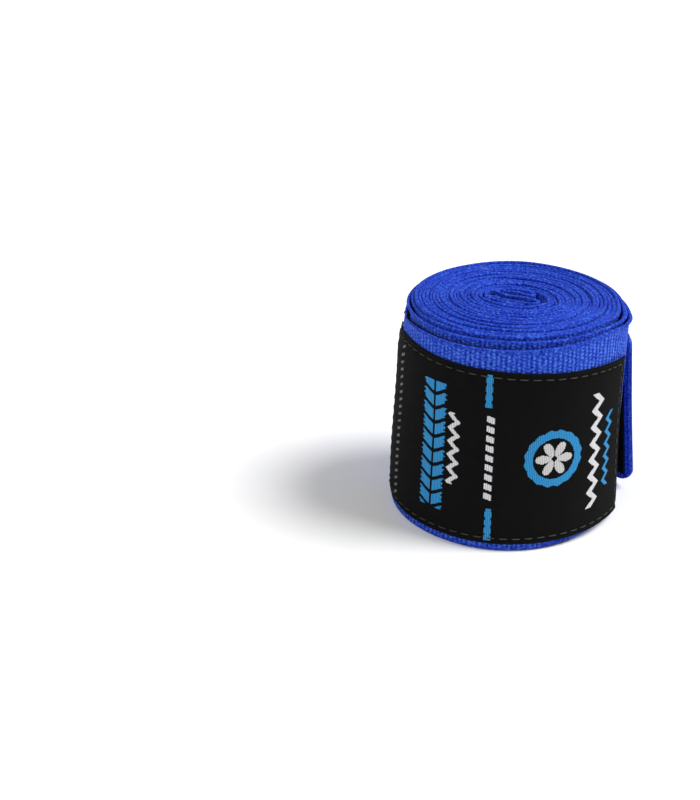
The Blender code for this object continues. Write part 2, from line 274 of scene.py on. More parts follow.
def core_folds():
    """Plan of the band's inner end, folded to and fro across the core."""
    path = [(-3.4, FOLD_ROWS[0])]
    for index, end in enumerate(FOLD_ENDS):
        low, high = FOLD_ROWS[index], FOLD_ROWS[index + 1]
        side = 1.0 if index % 2 == 0 else -1.0
        for turn in np.radians(np.arange(-90.0, 91.0, 15.0)):
            reach = (high - low) / 2.0
            path.append((end + side * reach * math.cos(turn), (low + high) / 2.0 + reach * math.sin(turn)))
    path.append((-2.4, FOLD_ROWS[-1] - 0.2))
    path = np.array(path)
    steps = np.concatenate([[0.0], np.cumsum(np.hypot(*np.diff(path, axis=0).T))])
    even = np.arange(0.0, steps[-1], 0.1)
    along = np.interp(even, steps, path[:, 0])
    across = np.interp(even, steps, path[:, 1]) + 0.18 * np.sin(1.1 * along + 0.8)
    tangent = np.hypot(np.gradient(along), np.gradient(across))
    half = BAND_THICKNESS / MM / 2.0
    outer_along = along + half * np.gradient(across) / tangent
    outer_across = across - half * np.gradient(along) / tangent
    x, y = oval_plan(outer_along, outer_across)
    return x * MM, y * MM


def soften(values, first, reach):
    """Running mean of values from an index onwards."""
    kernel = np.ones(2 * reach + 1) / (2 * reach + 1)
    padded = np.pad(values[first - reach:], (0, reach), mode="edge")
    result = values.copy()
    result[first:] = np.convolve(padded, kernel, mode="valid")
    return result


def band_tables():
    """Lengths, winding angles and plan of the band's outer face, from the first hinge inwards."""
    last = 360.0 + TUCK_ANGLE + 360.0 * (ROLL_RADIUS - HOOK_ROOM - TURN_PITCH - CORE_RADIUS) / TURN_PITCH
    fold_x, fold_y = core_folds()
    meet = math.degrees(math.atan2(fold_y[0], fold_x[0])) - FOLD_SWEEP
    last += angle_from(last, meet - TAIL_START)
    wind = np.arange(0.0, last, 0.5)
    radius = wind_shape(wind)
    turn = np.radians(TAIL_START + wind)
    gap = np.linspace(0.0, 1.0, 70)[1:-1]
    gap_radius = radius[-1] + (math.hypot(fold_x[0], fold_y[0]) - radius[-1]) * gap
    gap_turn = turn[-1] + math.radians(FOLD_SWEEP) * gap
    x = np.concatenate([radius * np.cos(turn), gap_radius * np.cos(gap_turn), fold_x])
    y = np.concatenate([radius * np.sin(turn), gap_radius * np.sin(gap_turn), fold_y])
    first = len(radius) - 40
    x, y = soften(x, first, 8), soften(y, first, 8)
    length = np.concatenate([[0.0], np.cumsum(np.hypot(np.diff(x), np.diff(y)))])
    more = np.arange(1.0, len(x) - len(wind) + 1)
    return length, np.concatenate([wind, wind[-1] + more]), x, y


LENGTH_TABLE, WIND_TABLE, X_TABLE, Y_TABLE = band_tables()
BAND_LENGTH = LENGTH_TABLE[-1]


def band_path(length):
    """Outer face of the band in plan, at lengths counted from the first hinge inwards.

    Negative lengths run along the tail to the straight tip. Gives points and winding angles.
    """
    tail = np.radians(TAIL_START) + np.maximum(length, -TAIL_LENGTH) / ROLL_RADIUS
    beyond = np.maximum(-TAIL_LENGTH - length, 0.0)
    tail_x = ROLL_RADIUS * np.cos(tail) + beyond * np.sin(tail)
    tail_y = ROLL_RADIUS * np.sin(tail) - beyond * np.cos(tail)
    x = np.where(length < 0.0, tail_x, np.interp(length, LENGTH_TABLE, X_TABLE))
    y = np.where(length < 0.0, tail_y, np.interp(length, LENGTH_TABLE, Y_TABLE))
    wound = np.interp(length, LENGTH_TABLE, WIND_TABLE)
    return x, y, np.where(length < 0.0, np.degrees(length / ROLL_RADIUS), wound)


def path_normals(length):
    """Unit normals of the band's outer face in plan, away from the roll."""
    reach = 0.1 * MM
    ax, ay, _ = band_path(length - reach)
    bx, by, _ = band_path(length + reach)
    tx, ty = bx - ax, by - ay
    size = np.hypot(tx, ty)
    return ty / size, -tx / size


def knit_phase(length):
    """Length warped a little, so that the ribs aren't evenly spaced."""
    return length + (0.13 * np.sin(length / (2.3 * MM)) + 0.07 * np.sin(length / (0.93 * MM) + 1.0)) * MM


def bead_phase(length, height):
    """Height warped a little, so that the beads don't line up."""
    return height + (0.16 * np.sin(length / (3.1 * MM)) + 0.10 * np.sin(length / (1.3 * MM) + 1.0)) * MM


def rib(length):
    """Height of the knit's ribs, from 0 in a groove to 1 on a crest."""
    return np.abs(np.cos(math.pi * knit_phase(length) / RIB_PITCH)) ** 0.7


def knit(length, height):
    """Height of the knit's surface, from 0 to 1: ribs made of beads, plainer at the edges."""
    odd = np.floor(knit_phase(length) / RIB_PITCH + 0.5) % 2.0
    bead = 0.5 + 0.5 * np.cos(2.0 * math.pi * bead_phase(length, height) / BEAD_PITCH + math.pi * odd)
    border = smooth(np.minimum(height, BAND_WIDTH - height), 0.2 * MM, 1.7 * MM)
    return 1.0 - (0.25 + 0.75 * border) * (1.0 - rib(length) * (0.45 + 0.55 * bead))


def plain(length, height):
    return np.ones_like(length + height)


def mesh_piece(name, points, faces, material, uv=None):
    """Object from arrays of points and faces, shaded smooth."""
    mesh = bpy.data.meshes.new(name)
    mesh.from_pydata(points.tolist(), [], faces)
    mesh.update()
    if uv is not None:
        loops = np.empty(len(mesh.loops), dtype=np.int32)
        mesh.loops.foreach_get("vertex_index", loops)
        layer = mesh.uv_layers.new(name="cloth")
        layer.data.foreach_set("uv", uv[loops].astype(np.float32).ravel())
    mesh.shade_smooth()
    mesh.materials.append(material)
    piece = bpy.data.objects.new(name, mesh)
    bpy.context.scene.collection.objects.link(piece)
    return piece


def grid_faces(rows, columns):
    """Quads of a tube of rows, each a closed ring of columns, with both ends capped."""
    i, j = np.meshgrid(np.arange(rows - 1), np.arange(columns), indexing="ij")
    k = (j + 1) % columns
    here, after = i * columns, (i + 1) * columns
    quads = np.stack([here + j, after + j, after + k, here + k], axis=-1)
    faces = quads.reshape(-1, 4).tolist()
    faces.append(list(range(columns)))
    faces.append(list(range(rows * columns - 1, (rows - 1) * columns - 1, -1)))
    return faces


def ribbon_mesh(length, low, high, thick, heights, surface, relief, depth=0.0, inner_heights=None):
    """Closed strip of cloth along the band's path.

    heights and inner_heights are shares of the width where its faces have points.
    Gives points before the roll's deformation, the faces, and cloth coordinates in millimetres.
    """
    inner_heights = heights if inner_heights is None else inner_heights
    x, y, _ = band_path(length)
    nx, ny = path_normals(length)
    half = thick / 2.0
    edge = np.minimum(EDGE_ROUND, half)
    reach = edge * (0.86 + 0.14 * rib(length))
    columns = []

    def round_edge(center, turns):
        for turn in np.radians(turns):
            columns.append(((half - 0.5 * relief) * math.cos(turn), center + reach * math.sin(turn)))

    for share in heights:
        z = low + edge + (high - low - 2.0 * edge) * share
        columns.append((half - relief + relief * surface(length, z - low), z))
    round_edge(high - edge, (50.0, 90.0, 130.0))
    for share in inner_heights[::-1]:
        z = low + edge + (high - low - 2.0 * edge) * share
        columns.append((-half + relief - relief * surface(length + RIB_PITCH / 2.0, z - low), z))
    round_edge(low + edge, (230.0, 270.0, 310.0))
    offset = np.stack([column[0] for column in columns], axis=1)
    z = np.stack([column[1] for column in columns], axis=1)
    out = offset - (half + depth)[:, None]
    px = x[:, None] + nx[:, None] * out
    py = y[:, None] + ny[:, None] * out
    points = np.stack([px, py, z], axis=-1).reshape(-1, 3)
    along = np.broadcast_to(knit_phase(length)[:, None], z.shape)
    up = bead_phase(length[:, None], z - low[:, None])
    uv = np.stack([along, up], axis=-1).reshape(-1, 2)
    return points, grid_faces(len(length), len(columns)), uv / MM


def full(length, value):
    return np.full_like(length, value)


def lengths(first, last, step):
    count = max(2, int(round(abs(last - first) / step)) + 1)
    return np.linspace(first, last, count)


def wind_to_length(wind):
    return float(np.interp(wind, WIND_TABLE, LENGTH_TABLE))


def shares(step):
    """Even shares of the band's width, one for each step."""
    return np.linspace(0.0, 1.0, int(BAND_WIDTH / step) + 1)


FINE = shares(BEAD_PITCH / 4.0)
COARSE = shares(3.0 * MM)
EDGES = np.concatenate([np.linspace(0.0, 0.06, 7), [0.3, 0.7], np.linspace(0.94, 1.0, 12)])


# Materials

def new_material(name):
    material = bpy.data.materials.new(name)
    material.use_nodes = True
    tree = material.node_tree
    return material, tree, tree.nodes["Principled BSDF"]


def add_node(tree, kind, **settings):
    node = tree.nodes.new(kind)
    for key, value in settings.items():
        setattr(node, key, value)
    return node


def math_node(tree, operation, *values):
    node = add_node(tree, "ShaderNodeMath", operation=operation)
    for socket, value in zip(node.inputs, values):
        if isinstance(value, (int, float)):
            socket.default_value = value
        else:
            tree.links.new(value, socket)
    return node.outputs[0]


def noise(tree, vector, scale, detail, rough):
    node = add_node(tree, "ShaderNodeTexNoise")
    node.inputs["Scale"].default_value = scale
    node.inputs["Detail"].default_value = detail
    node.inputs["Roughness"].default_value = rough
    tree.links.new(vector, node.inputs["Vector"])
    return node.outputs["Fac"]


def color_ramp(tree, factor, stops):
    node = add_node(tree, "ShaderNodeValToRGB")
    elements = node.color_ramp.elements
    while len(elements) < len(stops):
        elements.new(0.5)
    for element, (position, color) in zip(elements, stops):
        element.position = position
        element.color = (*color, 1.0)
    tree.links.new(factor, node.inputs["Fac"])
    return node.outputs["Color"]


def bump(tree, height, distance, strength):
    node = add_node(tree, "ShaderNodeBump")
    node.inputs["Distance"].default_value = distance
    node.inputs["Strength"].default_value = strength
    tree.links.new(height, node.inputs["Height"])
    return node.outputs["Normal"]


def cloth_coordinates(tree):
    """Cloth coordinates in millimetres: along the band and up its width."""
    uv = add_node(tree, "ShaderNodeUVMap", uv_map="cloth")
    split = add_node(tree, "ShaderNodeSeparateXYZ")
    tree.links.new(uv.outputs["UV"], split.inputs[0])
    return uv.outputs["UV"], split.outputs["X"], split.outputs["Y"]


def wave(tree, coordinate, pitch):
    """Cosine of a cloth coordinate, from 0 to 1."""
    swing = math_node(tree, "COSINE", math_node(tree, "MULTIPLY", coordinate, 2.0 * math.pi / pitch))
    return math_node(tree, "MULTIPLY_ADD", swing, 0.5, 0.5)


def knit_material(name, deep, body, light):
    """Ribbed cotton knit: painted shade in the rib grooves, a painted highlight on the beaded crests, and
    loose fibres.
    """
    material, tree, shader = new_material(name)
    uv, along, up = cloth_coordinates(tree)
    place = add_node(tree, "ShaderNodeTexCoord").outputs["Object"]
    crest = wave(tree, along, RIB_PITCH / MM)
    count = math_node(tree, "FLOOR", math_node(tree, "MULTIPLY_ADD", along, MM / RIB_PITCH, 0.5))
    odd = math_node(tree, "PINGPONG", count, 1.0)
    shift = math_node(tree, "MULTIPLY", odd, math.pi)
    turn = math_node(tree, "MULTIPLY_ADD", up, 2.0 * math.pi * MM / BEAD_PITCH, shift)
    bead = math_node(tree, "MULTIPLY_ADD", math_node(tree, "COSINE", turn), 0.5, 0.5)
    middle = math_node(tree, "ABSOLUTE", math_node(tree, "SUBTRACT", up, BAND_WIDTH / MM / 2.0))
    border = math_node(tree, "SMOOTH_MAX", math_node(tree, "MULTIPLY_ADD", middle, -0.8, 20.0), 0.35, 0.1)
    border = math_node(tree, "MINIMUM", border, 1.0)
    loops = math_node(tree, "MULTIPLY", crest, math_node(tree, "MULTIPLY_ADD", bead, 0.65, 0.35))
    loops = math_node(tree, "MULTIPLY", loops, border)
    fibre = noise(tree, uv, 3.2, 4.0, 0.65)
    speck = noise(tree, place, 1700.0, 2.0, 0.6)
    patch = noise(tree, place, 160.0, 3.0, 0.6)
    # The loops' share of the colour is painted shade in the rib grooves and a painted highlight on the beaded
    # crests; the noises are the yarn's own uneven tone.
    mix = math_node(tree, "MULTIPLY", loops, 0.42)
    mix = math_node(tree, "MULTIPLY_ADD", fibre, 0.70, mix)
    mix = math_node(tree, "MULTIPLY_ADD", speck, 1.30, mix)
    mix = math_node(tree, "MULTIPLY_ADD", patch, 0.25, mix)
    mix = math_node(tree, "SUBTRACT", mix, 0.76)
    color = color_ramp(tree, mix, ((0.15, deep), (0.50, body), (0.85, light)))
    tree.links.new(color, shader.inputs["Base Color"])
    height = math_node(tree, "MULTIPLY_ADD", loops, 0.5, speck)
    height = math_node(tree, "MULTIPLY_ADD", fibre, 0.8, height)
    tree.links.new(bump(tree, height, 0.00022, 1.0), shader.inputs["Normal"])
    tree.links.new(math_node(tree, "MULTIPLY_ADD", fibre, 0.15, 0.78), shader.inputs["Roughness"])
    shader.inputs["Sheen Weight"].default_value = 0.06
    shader.inputs["Sheen Roughness"].default_value = 0.5
    shader.inputs["Sheen Tint"].default_value = (0.45, 0.60, 1.0, 1.0)
    shader.inputs["Specular IOR Level"].default_value = 0.12
    return material


def woven_material(name, dark, light, pitch, roughness, sheen):
    """Fine plain weave of two shades, with threads at a pitch in millimetres."""
    material, tree, shader = new_material(name)
    uv, along, up = cloth_coordinates(tree)
    warp = wave(tree, along, pitch)
    weft = wave(tree, up, pitch)
    cross = math_node(tree, "MULTIPLY", warp, weft)
    fibre = noise(tree, uv, 9.0, 4.0, 0.6)
    patch = noise(tree, uv, 0.35, 2.0, 0.5)
    soft = math_node(tree, "MULTIPLY", fibre, 0.45)
    mix = math_node(tree, "ADD", math_node(tree, "MULTIPLY", cross, 0.45), soft)
    mix = math_node(tree, "ADD", mix, math_node(tree, "MULTIPLY", patch, 0.25))
    tree.links.new(color_ramp(tree, mix, ((0.15, dark), (0.95, light))), shader.inputs["Base Color"])
    tree.links.new(bump(tree, math_node(tree, "ADD", cross, fibre), 0.00006, 0.7), shader.inputs["Normal"])
    tree.links.new(math_node(tree, "MULTIPLY_ADD", fibre, 0.2, roughness), shader.inputs["Roughness"])
    shader.inputs["Sheen Weight"].default_value = sheen
    shader.inputs["Sheen Roughness"].default_value = 0.4
    shader.inputs["Specular IOR Level"].default_value = 0.05
    return material


def thread_material(name, dark, light, pitch, roughness):
    """Satin threads that run side by side up the label."""
    material, tree, shader = new_material(name)
    uv, along, _ = cloth_coordinates(tree)
    strand = wave(tree, along, pitch)
    twist = noise(tree, uv, 5.0, 3.0, 0.6)
    soft = math_node(tree, "MULTIPLY", twist, 0.5)
    mix = math_node(tree, "ADD", math_node(tree, "MULTIPLY", strand, 0.55), soft)
    tree.links.new(color_ramp(tree, mix, ((0.15, dark), (0.75, light))), shader.inputs["Base Color"])
    tree.links.new(bump(tree, strand, 0.00005, 0.7), shader.inputs["Normal"])
    shader.inputs["Roughness"].default_value = roughness
    shader.inputs["Specular IOR Level"].default_value = 0.15
    return material


def floor_material():
    material, tree, shader = new_material("studio_floor")
    place = add_node(tree, "ShaderNodeTexCoord").outputs["Object"]
    grain = noise(tree, place, 40.0, 3.0, 0.5)
    tree.links.new(color_ramp(tree, grain, ((0.3, (0.90, 0.90, 0.90)), (0.7, (0.93, 0.93, 0.93)))),
                   shader.inputs["Base Color"])
    shader.inputs["Roughness"].default_value = 0.9
    return material


# The knit's deep and light colours carry the painted groove shade and crest highlight as well as the yarn's
# own tone.
KNIT = knit_material("royal_blue_knit", (0.002, 0.008, 0.26), (0.016, 0.062, 0.51), (0.085, 0.200, 0.76))
HOOKS = woven_material("hook_tape_black", (0.002, 0.002, 0.002), (0.012, 0.012, 0.013), 0.45, 0.70, 0.0)
LABEL = woven_material("label_black", (0.002, 0.002, 0.002), (0.008, 0.008, 0.008), 0.24, 0.80, 0.01)
BLUE_THREAD = thread_material("label_blue_thread", (0.006, 0.09, 0.26), (0.030, 0.29, 0.60), 0.42, 0.6)
WHITE_THREAD = thread_material("label_white_thread", (0.30, 0.30, 0.32), (0.74, 0.74, 0.76), 0.42, 0.6)
SILVER_THREAD = thread_material("label_silver_thread", (0.28, 0.28, 0.29), (0.64, 0.63, 0.62), 0.42, 0.5)
GREY_THREAD = thread_material("label_grey_thread", (0.05, 0.05, 0.05), (0.20, 0.20, 0.20), 0.42, 0.7)
SEAM_THREAD = thread_material("seam_thread_grey", (0.008, 0.010, 0.007), (0.055, 0.062, 0.050), 0.30, 0.7)
TAIL_THREAD = thread_material("seam_thread_blue", (0.005, 0.02, 0.20), (0.020, 0.07, 0.42), 0.30, 0.7)
LOOP_THREAD = thread_material("loop_thread_blue", (0.005, 0.02, 0.20), (0.025, 0.08, 0.45), 0.30, 0.7)
LOOP_TAPE = woven_material("loop_tape_blue", (0.006, 0.02, 0.22), (0.03, 0.09, 0.50), 0.50, 0.75, 0.1)


# Band

def build_wound_band(name, first, last, rib_steps, heights, inner_heights):
    length = lengths(first, last, RIB_PITCH / rib_steps)
    _, _, wind = band_path(length)
    low = wind_rise(np.maximum(wind, 0.0))
    high = low + BAND_WIDTH - rim_dip(length)
    points, faces, uv = ribbon_mesh(
        length, low, high, full(length, BAND_THICKNESS), heights, knit, RIB_HEIGHT,
        inner_heights=inner_heights)
    piece = mesh_piece(name, deform(points), faces, KNIT, uv)
    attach(piece, "roll")
    return piece


def tip_widths(length):
    """Lower edge, upper edge and thickness of the tail, which narrows to the rounded tip."""
    beyond = np.maximum(-TAIL_LENGTH - length, 0.0)
    neck = smooth(-TAIL_LENGTH - length, -3.0 * MM, TIP_SHOULDER)
    left = np.maximum(beyond - (TIP_LENGTH - TIP_CORNER), 0.0)
    corner = TIP_CORNER - np.sqrt(np.maximum(TIP_CORNER ** 2 - left ** 2, 0.0))
    low = TIP_BOTTOM * neck + corner
    high = BAND_WIDTH - (BAND_WIDTH - TIP_BOTTOM - TIP_WIDTH) * neck - corner - rim_dip(length)
    thick = BAND_THICKNESS + (TIP_THICKNESS - BAND_THICKNESS) * smooth(beyond, 0.5 * MM, 3.0 * MM)
    end = np.clip((beyond - (TIP_LENGTH - TIP_THICKNESS / 2.0)) / (TIP_THICKNESS / 2.0), 0.0, 0.995)
    return low, high, thick * np.sqrt(1.0 - end ** 2), thick


TAIL_CUTS = [ROLL_RADIUS * math.radians(4.0)]
TAIL_CUTS += [-SEGMENT_LENGTH * (number + 0.5) for number in range(3)]
TAIL_CUTS += [-TAIL_LENGTH - TIP_LENGTH]
BLEND_STARTS = [-SEGMENT_LENGTH * number for number in range(4)]
BLEND_ENDS = TAIL_CUTS[1:4] + [-TAIL_LENGTH - TIP_BEND]


def path_place(length):
    x, y, _ = band_path(np.array([length]))
    return (float(x[0]) + AXIS.x, float(y[0]) + AXIS.y, BAND_WIDTH / 2.0)


def bend_with_tail(piece, index):
    """Bake a piece of the tail's placement into its points."""
    path_place(BLEND_STARTS[index])
    path_place(BLEND_ENDS[index])
    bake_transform(piece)


def tail_lengths(index):
    """Lengths along a tail piece, finer where the tip rounds off."""
    first, last = TAIL_CUTS[index], TAIL_CUTS[index + 1]
    if index < 3:
        return lengths(first, last, RIB_PITCH / 5.0)
    near_end = last + 1.6 * MM
    fine = lengths(near_end, last, 0.08 * MM)
    return np.concatenate([lengths(first, near_end, RIB_PITCH / 5.0), fine[1:]])


def build_tail_band(index):
    length = tail_lengths(index)[::-1]
    low, high, thick, core = tip_widths(length)
    depth = (core - thick) / 2.0 - (core - BAND_THICKNESS)
    points, faces, uv = ribbon_mesh(length, low, high, thick, FINE, knit, RIB_HEIGHT, depth=depth)
    if index == 3:
        points = slant_tip(points)
    piece = mesh_piece(f"knit_tail_{index + 1}", deform(points), faces, KNIT, uv)
    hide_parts(f"tail_band_{index + 1}" if index < 3 else "tip_tab")
    bend_with_tail(piece, index)


def add_hooks(points, faces, uv, length_grid, height_grid):
    """Rows of small curved hooks on the tape's inner face."""
    s, z = (grid.ravel() for grid in np.meshgrid(length_grid, height_grid, indexing="ij"))
    s = s + 0.25 * HOOK_PITCH * np.sin(z * 9000.0)
    x, y, _ = band_path(s)
    nx, ny = path_normals(s)
    lean = np.where((np.round(z / HOOK_PITCH) % 2.0) < 0.5, 1.0, -1.0)
    rings = []
    for share, radius, bend in HOOK_PROFILE:
        for turn in range(4):
            a = math.radians(90.0 * turn)
            along = (radius * math.cos(a) + bend * lean) * MM
            depth = HOOK_DEPTH + HOOK_BASE - 0.03 * MM + HOOK_HEIGHT * share
            ring = np.stack([x - nx * depth - ny * along, y - ny * depth + nx * along,
                             z + radius * math.sin(a) * MM], axis=-1)
            rings.append(ring)
    hooks = np.stack(rings, axis=1)
    base = len(points)
    count = len(s)
    start = base + 16 * np.arange(count)[:, None, None]
    ring, side = np.meshgrid(np.arange(3), np.arange(4), indexing="ij")
    here = ring * 4 + side
    after = ring * 4 + (side + 1) % 4
    quads = np.stack([here, after, after + 4, here + 4], axis=-1).reshape(1, 12, 4) + start
    caps = np.array([[3, 2, 1, 0], [12, 13, 14, 15]]).reshape(1, 2, 4) + start
    faces = faces + quads.reshape(-1, 4).tolist() + caps.reshape(-1, 4).tolist()
    hook_uv = np.stack([np.repeat(s, 16), np.repeat(z, 16)], axis=-1) / MM
    return np.concatenate([points, hooks.reshape(-1, 3)]), faces, np.concatenate([uv, hook_uv])


def build_hook_tape(name, first, last, low, high, hooked):
    length = lengths(max(first, last), min(first, last), 0.5 * MM)[::-1]
    points, faces, uv = ribbon_mesh(
        length, full(length, low), high - rim_dip(length), full(length, HOOK_BASE), shares(1.5 * MM), plain,
        0.0, depth=HOOK_DEPTH)
    if hooked:
        along = np.arange(min(first, last) + HOOK_PITCH / 2.0, max(first, last) - 0.3 * MM, HOOK_PITCH)
        up = np.arange(low + 0.8 * MM, high - 0.5 * MM, HOOK_PITCH)
        points, faces, uv = add_hooks(points, faces, uv, along, up)
    if last < -TAIL_LENGTH + SEGMENT_LENGTH:
        points = slant_tip(points)
    piece = mesh_piece(name, deform(points), faces, HOOKS, uv)
    return piece


def build_closure():
    """Tail, tip and the hook tape inside them, cut mid-segment."""
    for index in range(4):
        build_tail_band(index)
        first, last = TAIL_CUTS[index], TAIL_CUTS[index + 1]
        low, high = HOOK_MARGIN, BAND_WIDTH - HOOK_MARGIN
        if index == 3:
            last = HOOK_STOP - TAIL_LENGTH
            low, high = low + 0.4 * MM, high - 1.0 * MM
        tape = build_hook_tape(f"hooks_tail_{index + 1}", first, last, low, high, True)
        if index < 3:
            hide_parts(f"tail_hook_tape_{index + 1}")
        bend_with_tail(tape, index)
    low, high = TIP_BOTTOM + TIP_HOOK_MARGIN, TIP_BOTTOM + TIP_WIDTH - TIP_HOOK_MARGIN
    last = -TAIL_LENGTH - TIP_LENGTH + TIP_HOOK_MARGIN
    first = HOOK_STOP - TAIL_LENGTH - 0.02 * MM
    tape = build_hook_tape("hooks_tip", first, last, low, high, True)
    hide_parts("tip_hook_tape")
    bend_with_tail(tape, 3)


def build_root_hooks():
    first = TAIL_CUTS[0]
    last = wind_to_length(ROOT_HOOK_ARC)
    low, high = 0.2 * MM, BAND_WIDTH - 0.05 * MM
    tape = build_hook_tape("hooks_root", first, last, low, high, False)
    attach(tape, "roll")
    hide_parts("hook_tape_root")


# Label

def label_point(angle, height, lift):
    """Points on the label's outer face, lifted off it."""
    radius = ROLL_RADIUS + LABEL_THICKNESS + 0.02 * MM + lift
    turn = np.radians(angle)
    return np.stack([radius * np.cos(turn), radius * np.sin(turn), height], axis=-1)


def label_top(angle):
    """Height of the label's upper edge, which slopes a little and sags at its left end."""
    return LABEL_HIGH - LABEL_SLOPE * (angle + 75.0) - 2.6 * MM * bell(angle, -188.0, 19.0)


def label_ripple(angle, height):
    """Slight waves of the label, stronger towards its long edges."""
    return 0.04 * MM * np.sin(np.radians(angle) * 21.0) * np.abs(2.0 * height / BAND_WIDTH - 1.0)


def label_uv(angle, height):
    radius = ROLL_RADIUS + LABEL_THICKNESS
    return np.stack([radius * np.radians(angle), height], axis=-1) / MM


def build_label():
    radius = ROLL_RADIUS + LABEL_THICKNESS
    start, end = LABEL_START_ANGLE, LABEL_END_ANGLE
    angle = np.linspace(end, start, 200)
    count = 110
    share = np.linspace(0.0, 1.0, count)
    top = label_top(angle)
    zig = np.abs(((LABEL_HIGH - LABEL_LOW) * share / PINKING_PITCH) % 1.0 - 0.5) * 2.0
    cut = np.degrees(PINKING_DEPTH / radius) * zig
    near_start = 1.0 - smooth(angle, start, start + 4.0)
    columns = []

    def column(part, lift, pinked):
        z = LABEL_LOW + (top - LABEL_LOW) * part
        a = angle + near_start * pinked
        a = a - LABEL_END_SLANT * part * smooth(angle, end - 30.0, end)
        fold = smooth(angle, end - 1.2, end - 0.2) * 0.15 * MM
        seam = bell(z, LABEL_LOW + LABEL_SEAM_INSET, 0.55 * MM)
        seam = seam + bell(z, top - LABEL_SEAM_INSET, 0.55 * MM)
        dimple = seam * (0.55 + 0.45 * np.cos(2.0 * math.pi * np.radians(angle) * radius / STITCH_PITCH))
        ripple = label_ripple(angle, z)
        return a, z, lift + (lift > -0.2 * MM) * (ripple - 0.12 * MM * dimple) - fold * (lift < -0.2 * MM)

    for step in range(count):
        columns.append(column(0.003 + 0.994 * share[step], 0.0, cut[step]))
    columns.append(column(1.0, -LABEL_THICKNESS * 0.35, cut[-1]))
    for step in range(count - 1, -1, -4):
        columns.append(column(0.003 + 0.994 * share[step], -LABEL_THICKNESS + 0.01 * MM, cut[step]))
    columns.append(column(0.0, -LABEL_THICKNESS * 0.35, cut[0]))
    a = np.stack([c[0] for c in columns], axis=1)
    z = np.stack([c[1] for c in columns], axis=1)
    lift = np.stack([c[2] for c in columns], axis=1)
    points = label_point(a, z, lift).reshape(-1, 3)
    uv = label_uv(a, z).reshape(-1, 2)
    piece = mesh_piece("label_cloth", deform(points), grid_faces(len(angle), len(columns)), LABEL, uv)
    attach(piece, "roll")
    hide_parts("woven_label")


def build_motif(name, material, first_angle, last_angle, low, high, inside):
    """Raised woven figure on the label.

    inside(a, b) says which cells the figure fills. a and b are millimetres from the middle
    of the figure's field, to the right and up.
    """
    radius = ROLL_RADIUS + LABEL_THICKNESS
    width = radius * math.radians(last_angle - first_angle)
    columns = int(width / MOTIF_CELL)
    rows = int((high - low) / MOTIF_CELL)
    a = ((np.arange(columns) + 0.5) - columns / 2.0) * MOTIF_CELL / MM
    b = ((np.arange(rows) + 0.5) - rows / 2.0) * MOTIF_CELL / MM
    grid_a, grid_b = np.meshgrid(a, b, indexing="ij")
    filled = np.zeros((columns + 2, rows + 2), dtype=bool)
    filled[1:-1, 1:-1] = inside(grid_a, grid_b)
    index = {}
    faces = []

    def add_face(*corners):
        faces.append([index.setdefault(corner, len(index)) for corner in corners])

    for i, j in np.argwhere(filled).tolist():
        add_face((i, j, 1), (i + 1, j, 1), (i + 1, j + 1, 1), (i, j + 1, 1))
        add_face((i, j + 1, 0), (i + 1, j + 1, 0), (i + 1, j, 0), (i, j, 0))
        if not filled[i - 1, j]:
            add_face((i, j + 1, 1), (i, j + 1, 0), (i, j, 0), (i, j, 1))
        if not filled[i + 1, j]:
            add_face((i + 1, j, 1), (i + 1, j, 0), (i + 1, j + 1, 0), (i + 1, j + 1, 1))
        if not filled[i, j - 1]:
            add_face((i, j, 1), (i, j, 0), (i + 1, j, 0), (i + 1, j, 1))
        if not filled[i, j + 1]:
            add_face((i + 1, j + 1, 1), (i + 1, j + 1, 0), (i, j + 1, 0), (i, j + 1, 1))
    keys = np.array(list(index), dtype=float)
    middle = (first_angle + last_angle) / 2.0
    angle = middle + np.degrees((keys[:, 0] - 1.0 - columns / 2.0) * MOTIF_CELL / radius)
    height = (low + high) / 2.0 + (keys[:, 1] - 1.0 - rows / 2.0) * MOTIF_CELL
    lift = np.where(keys[:, 2] > 0.5, 0.07, -0.05) * MM
    points = label_point(angle, height, lift + label_ripple(angle, height))
    piece = mesh_piece(name, deform(points), faces, material, label_uv(angle, height))
    piece.data.set_sharp_from_angle(angle=math.radians(40.0))
    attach(piece, "roll")


def repeat(value, pitch):
    """Offset from the middle of the nearest of evenly spaced places."""
    return (value + pitch / 2.0) % pitch - pitch / 2.0


def braid(a, b):
    """Thick plait of slanted strands."""
    ragged = 0.25 * np.sin(b * 5.3) + 0.15 * np.sin(b * 11.0)
    strand = repeat(b - 0.55 * a * np.sign(a), 3.6)
    return (np.abs(a) < 3.1 + ragged) & (np.abs(strand) < 1.3) & (np.abs(a) > 0.2)


def zigzag(pitch, half_width, thick):
    """Thick zigzag line along the column."""
    swing = half_width - thick
    slope = math.hypot(1.0, 4.0 * swing / pitch)

    def inside(a, b):
        middle = swing * (1.0 - 4.0 * np.abs(repeat(b, pitch)) / pitch)
        return (np.abs(a - middle) < thick * slope / 2.0) & (np.abs(a) < half_width)
    return inside


def ticks(pitch, half_width, half_height, slant):
    """Row of short slanted strokes."""
    def inside(a, b):
        local = repeat(b - slant * a, pitch)
        return (np.abs(a) < half_width) & (np.abs(local) < half_height)
    return inside


def bar(a, b):
    return np.abs(a) < 0.75 + 0.12 * np.sin(b * 3.0)


def ring(a, b):
    """Plain ring with a beaded rim."""
    radius = np.hypot(a, b)
    beads = 0.35 * np.abs(np.sin(8.0 * np.arctan2(b, a)))
    return (radius > 5.1) & (radius < 6.8 + beads)


def rosette(a, b):
    """Six-petal flower."""
    radius = np.hypot(a, b)
    petals = np.abs(np.cos(3.0 * np.arctan2(b, a)))
    return (radius < 4.5 * petals ** 0.6) & (radius > 0.7)


